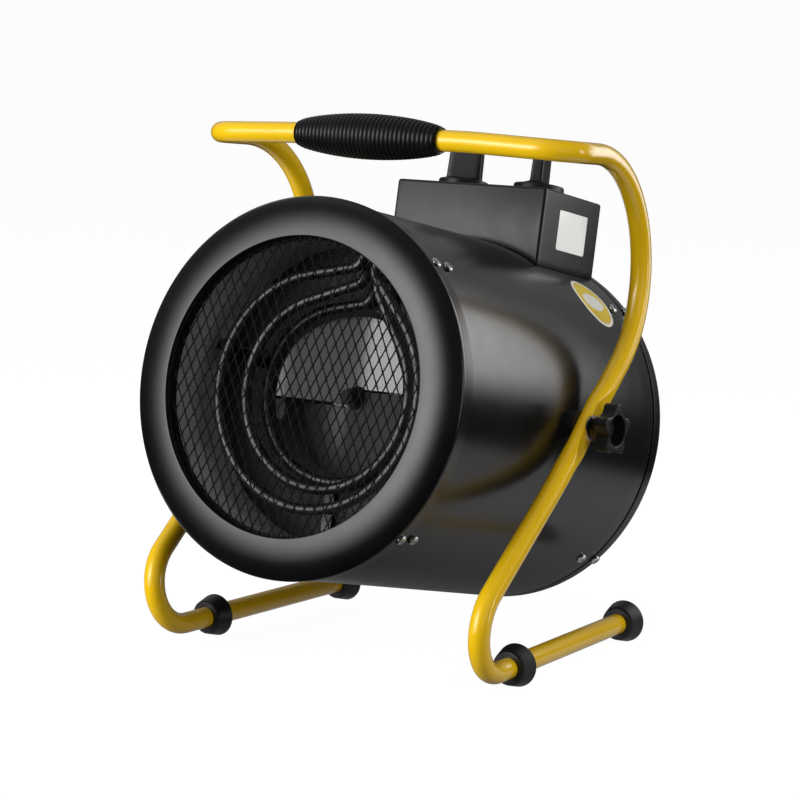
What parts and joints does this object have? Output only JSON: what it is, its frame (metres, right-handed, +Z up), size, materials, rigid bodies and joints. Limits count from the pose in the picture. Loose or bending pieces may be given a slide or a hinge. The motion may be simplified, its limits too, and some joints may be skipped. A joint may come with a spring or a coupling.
{
  "type": "forced air heater",
  "caption": "Portable electric fan heater: a black round barrel with a mesh outlet and a knob box on top, tilting between the sides of a bent yellow tube frame with a hand grip and rubber feet.",
  "frame": {"origin": "bottom centre of the bounding box: the middle of the foot print, on the floor", "axes": "+Z up, the air outlet faces -Y, +X is to the right seen from the outlet side looking along +Y"},
  "size_m": [0.356, 0.3754, 0.4115],
  "materials": {
    "yellow_gloss": "gloss yellow enamel on steel tube",
    "inner_steel": "plain galvanised sheet",
    "grip_rubber": "matte moulded rubber",
    "foot_rubber": "matte moulded rubber",
    "zinc_steel": "bright zinc plate",
    "screw_steel": "bright zinc plate",
    "black_plastic": "satin moulded plastic",
    "black_powder": "semi-gloss black powder coat",
    "black_wire": "semi-gloss black paint",
    "shield_steel": "aluminised sheet",
    "dark_steel": "matte black",
    "element_sheath": "oxidised stainless sheath",
    "ceramic": null,
    "motor_steel": "plain steel can",
    "fan_aluminium": "satin rolled sheet",
    "switch_plastic": "matte moulded plastic",
    "copper": "drawn copper",
    "spring_steel": "bright spring steel"
  },
  "bodies": {
    "frame": {"frame_half_left": "yellow_gloss", "frame_half_right": "yellow_gloss", "frame_spigot": "inner_steel", "handle_grip": "grip_rubber", "foot_front_left": "foot_rubber", "foot_front_right": "foot_rubber", "foot_rear_left": "foot_rubber", "foot_rear_right": "foot_rubber"},
    "barrel": {"bezel_screws": "screw_steel", "box_floor": "inner_steel", "box_screws": "screw_steel", "bulb_clips": "spring_steel", "control_box": "black_powder", "cord_gland": "black_plastic", "drum_shell": "black_powder", "element_bushes": "ceramic", "element_supports": "element_sheath", "fan_baffle": "dark_steel", "fan_motor": "motor_steel", "front_bezel": "black_powder", "gland_nut": "black_plastic", "grille_clamp_ring": "inner_steel", "heat_liner": "shield_steel", "heating_element_1": "element_sheath", "heating_element_2": "element_sheath", "heating_element_3": "element_sheath", "liner_screws": "screw_steel", "liner_standoffs": "inner_steel", "mesh_grille": "black_wire", "mode_switch": "switch_plastic", "motor_bracket": "inner_steel", "pivot_nut_left": "zinc_steel", "pivot_nut_right": "zinc_steel", "pivot_plate_left": "inner_steel", "pivot_plate_right": "inner_steel", "pivot_spacer_left": "black_plastic", "pivot_spacer_right": "black_plastic", "rear_guard": "black_wire", "rear_ring": "black_powder", "rear_screws": "screw_steel", "sensor_bulb": "copper", "terminal_block": "switch_plastic", "thermal_cutout": "switch_plastic", "thermostat_body": "switch_plastic"},
    "clamp_washer_right": {"clamp_washer_right": "zinc_steel"},
    "clamp_washer_left": {"clamp_washer_left": "zinc_steel"},
    "clamp_knob_right": {"clamp_knob_right": "black_plastic", "clamp_stud_right": "zinc_steel"},
    "clamp_knob_left": {"clamp_knob_left": "black_plastic", "clamp_stud_left": "zinc_steel"},
    "fan": {"fan_wheel": "fan_aluminium", "motor_shaft": "zinc_steel", "fan_nut": "zinc_steel"},
    "mode_selector": {"mode_knob": "black_plastic", "mode_spindle": "zinc_steel"},
    "thermostat_selector": {"thermostat_knob": "black_plastic", "thermostat_spindle": "zinc_steel"}
  },
  "joints": [
    {"name": "barrel_tilt", "type": "hinge", "parent": "frame", "child": "barrel", "pos_m": [0, 0.00882, 0.1834], "axis": [1, 0, 0], "range_deg": [-7, 26]},
    {"name": "clamp_slide_right", "type": "slide", "parent": "barrel", "child": "clamp_washer_right", "axis": [1, 0, 0], "range_m": [0, 0.00187]},
    {"name": "clamp_slide_left", "type": "slide", "parent": "barrel", "child": "clamp_washer_left", "axis": [-1, 0, 0], "range_m": [0, 0.00187]},
    {"name": "clamp_turn_right", "type": "hinge", "parent": "clamp_washer_right", "child": "clamp_knob_right", "pos_m": [0, 0.00882, 0.1834], "axis": [1, 0, 0], "range_deg": [0, 548]},
    {"name": "clamp_turn_left", "type": "hinge", "parent": "clamp_washer_left", "child": "clamp_knob_left", "pos_m": [0, 0.00882, 0.1834], "axis": [-1, 0, 0], "range_deg": [0, 548]},
    {"name": "fan_spin", "type": "hinge", "parent": "barrel", "child": "fan", "pos_m": [0, 0.00882, 0.1834], "axis": [0, 0.9777, -0.2101], "continuous": true},
    {"name": "mode_turn", "type": "hinge", "parent": "barrel", "child": "mode_selector", "pos_m": [-0.0346, 0.12938, 0.34364], "axis": [0, 0.2101, 0.9777], "range_deg": [-135, 0]},
    {"name": "thermostat_turn", "type": "hinge", "parent": "barrel", "child": "thermostat_selector", "pos_m": [0.0346, 0.12938, 0.34364], "axis": [0, 0.2101, 0.9777], "range_deg": [-255, 15]}
  ],
  "couplings": [
    {"joint": "clamp_turn_right", "follows": "clamp_slide_right", "rad_per_m": 5026.5},
    {"joint": "clamp_turn_left", "follows": "clamp_slide_left", "rad_per_m": 5026.5}
  ]
}
